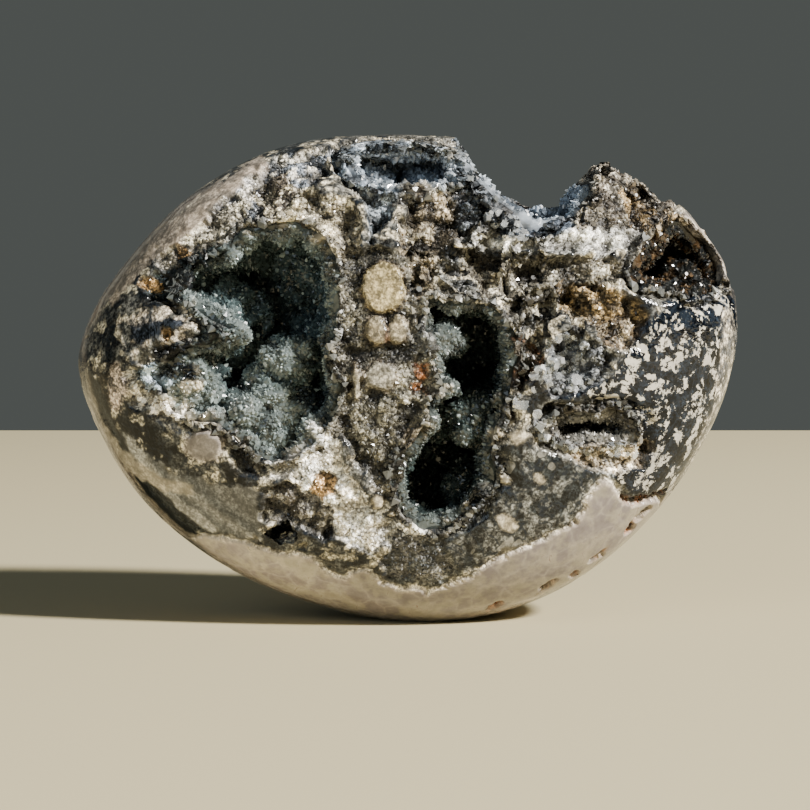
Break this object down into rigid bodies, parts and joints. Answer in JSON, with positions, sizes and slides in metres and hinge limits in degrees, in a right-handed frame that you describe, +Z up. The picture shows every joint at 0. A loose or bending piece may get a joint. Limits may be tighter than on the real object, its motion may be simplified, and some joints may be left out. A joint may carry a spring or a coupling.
{
  "type": "chalcedony geode",
  "caption": "Polished oval chalcedony geode that stands on its edge, with crystal-lined hollows in its face and a broken saddle in its top edge.",
  "frame": {"origin": "on the surface that the stone stands on, under the middle of its bounding box", "axes": "+X to the right seen from the front, +Y to the back, +Z up; the face with the hollows looks along -Y"},
  "size_m": [0.1998, 0.096, 0.1471],
  "materials": {
    "polished_chalcedony": "polished stone, mottled cream, grey and black, rough and sugary around the hollows",
    "dark_druse": "glassy quartz points, smoky green grey",
    "blue_grey_druse": "glassy quartz points, blue grey",
    "rusty_druse": "quartz points stained gold brown by iron",
    "pale_druse": "clear to cream quartz points"
  },
  "bodies": {
    "root": {"geode_stone": "polished_chalcedony", "left_hollow_crystals": "dark_druse", "centre_hollow_crystals": "dark_druse", "top_hollow_crystals": "blue_grey_druse", "shoulder_hollow_crystals": "rusty_druse", "slot_crystals": "pale_druse"}
  },
  "joints": []
}
